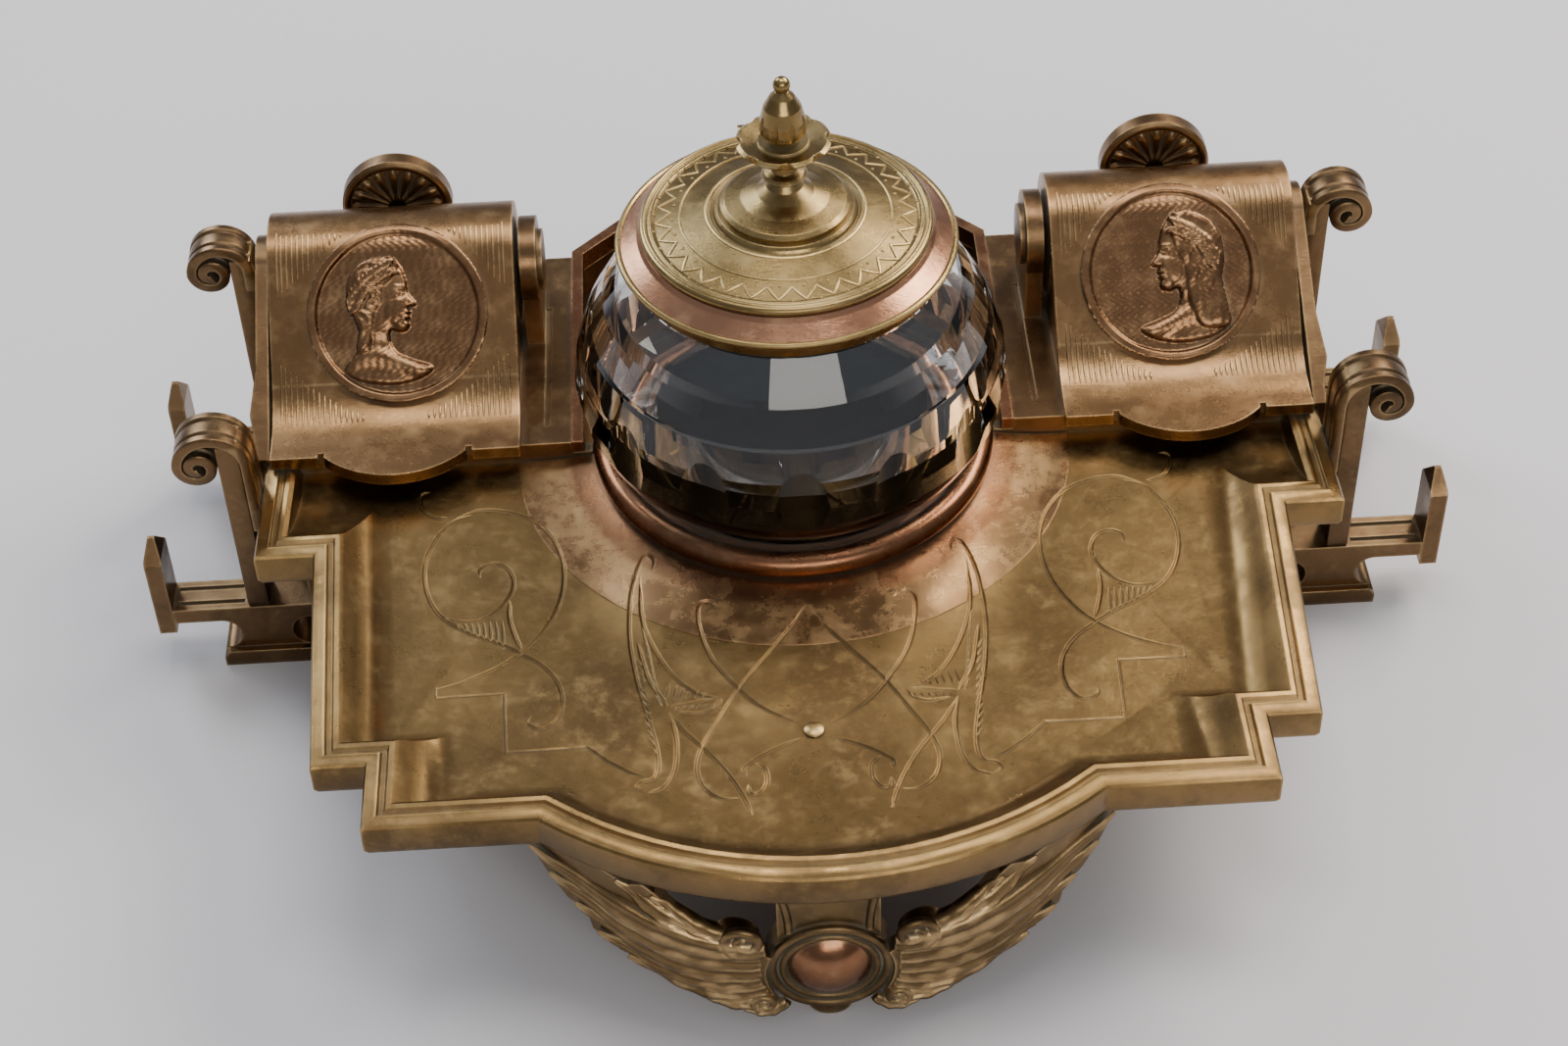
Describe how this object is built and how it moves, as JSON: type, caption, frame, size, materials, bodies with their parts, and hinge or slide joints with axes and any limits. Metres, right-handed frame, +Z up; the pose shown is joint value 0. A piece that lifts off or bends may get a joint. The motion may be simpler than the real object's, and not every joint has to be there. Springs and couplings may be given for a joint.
{
  "type": "inkstand",
  "caption": "Desk inkstand with a fluted glass well under a hinged finial cover, lidded stores at both sides, a broad pen tray and scroll brackets that hold pens.",
  "frame": {"origin": "on the surface the stand rests on, under the middle of its bounding box", "axes": "+X to the right seen from the front, +Y from the tray at the front to the case at the back, +Z up"},
  "size_m": [0.298, 0.2126, 0.1452],
  "materials": {
    "tray_brass": "worn gilt brass with dark tarnish",
    "copper_brown": "reddish brown patina",
    "brown_bronze": "dark brown patina",
    "lid_bronze": "brown patina with worn edges",
    "medal_bronze": "cast relief with dull gold highlights",
    "bracket_bronze": "dark brown patina with green in the hollows",
    "foot_bronze": "cast leaves with worn gold edges",
    "dark_brass": "dull dark brass",
    "copper_pink": "rubbed coppery brass",
    "olive_brass": "olive gold brass",
    "pin_steel": "plain steel",
    "crystal": "clear cut crystal"
  },
  "bodies": {
    "stand": {"tray": "tray_brass", "well_stand": "tray_brass", "collar_ring": "copper_brown", "case_body": "brown_bronze", "well_frame": "copper_brown", "case_base": "brown_bronze", "crest_left": "medal_bronze", "crest_right": "medal_bronze", "hinge_pin_left": "pin_steel", "hinge_pin_right": "pin_steel", "cheek_left": "brown_bronze", "cheek_right": "brown_bronze", "hinge_post_left": "brown_bronze", "hinge_post_right": "brown_bronze", "bracket_front_left": "bracket_bronze", "bracket_front_right": "bracket_bronze", "bracket_rear_left": "bracket_bronze", "bracket_rear_right": "bracket_bronze", "scroll_front_left": "bracket_bronze", "scroll_front_right": "bracket_bronze", "scroll_rear_left": "bracket_bronze", "scroll_rear_right": "bracket_bronze", "pen_stop_front_left": "bracket_bronze", "pen_stop_front_right": "bracket_bronze", "pen_stop_rear_left": "bracket_bronze", "pen_stop_rear_right": "bracket_bronze", "cartouche": "foot_bronze", "foot_boss": "copper_brown", "acanthus_left": "foot_bronze", "acanthus_right": "foot_bronze", "base_screws": "pin_steel", "crest_screws": "pin_steel", "bracket_screws": "pin_steel", "tray_dowels": "pin_steel"},
    "lid_left": {"lid_left": "lid_bronze", "medallion_left": "medal_bronze"},
    "lid_right": {"lid_right": "lid_bronze", "medallion_right": "medal_bronze"},
    "well": {"glass_well": "crystal", "neck_collar": "dark_brass", "cover_hinge_pin": "pin_steel"},
    "cover": {"cover": "copper_pink", "cover_plate": "olive_brass", "finial_stem": "olive_brass", "finial_calyx": "olive_brass", "finial_bud": "olive_brass"}
  },
  "joints": [
    {"name": "lid_left_hinge", "type": "hinge", "parent": "stand", "child": "lid_left", "pos_m": [-0.09025, 0.07124, 0.06552], "axis": [-1, 0, 0], "range_deg": [0, 118]},
    {"name": "lid_right_hinge", "type": "hinge", "parent": "stand", "child": "lid_right", "pos_m": [0.09025, 0.07124, 0.06552], "axis": [-1, 0, 0], "range_deg": [0, 118]},
    {"name": "well_lift", "type": "slide", "parent": "stand", "child": "well", "axis": [0, 0, 1], "range_m": [0, 0.08]},
    {"name": "cover_hinge", "type": "hinge", "parent": "well", "child": "cover", "pos_m": [0, 0.06465, 0.1034], "axis": [-1, 0, 0], "range_deg": [0, 100]}
  ]
}
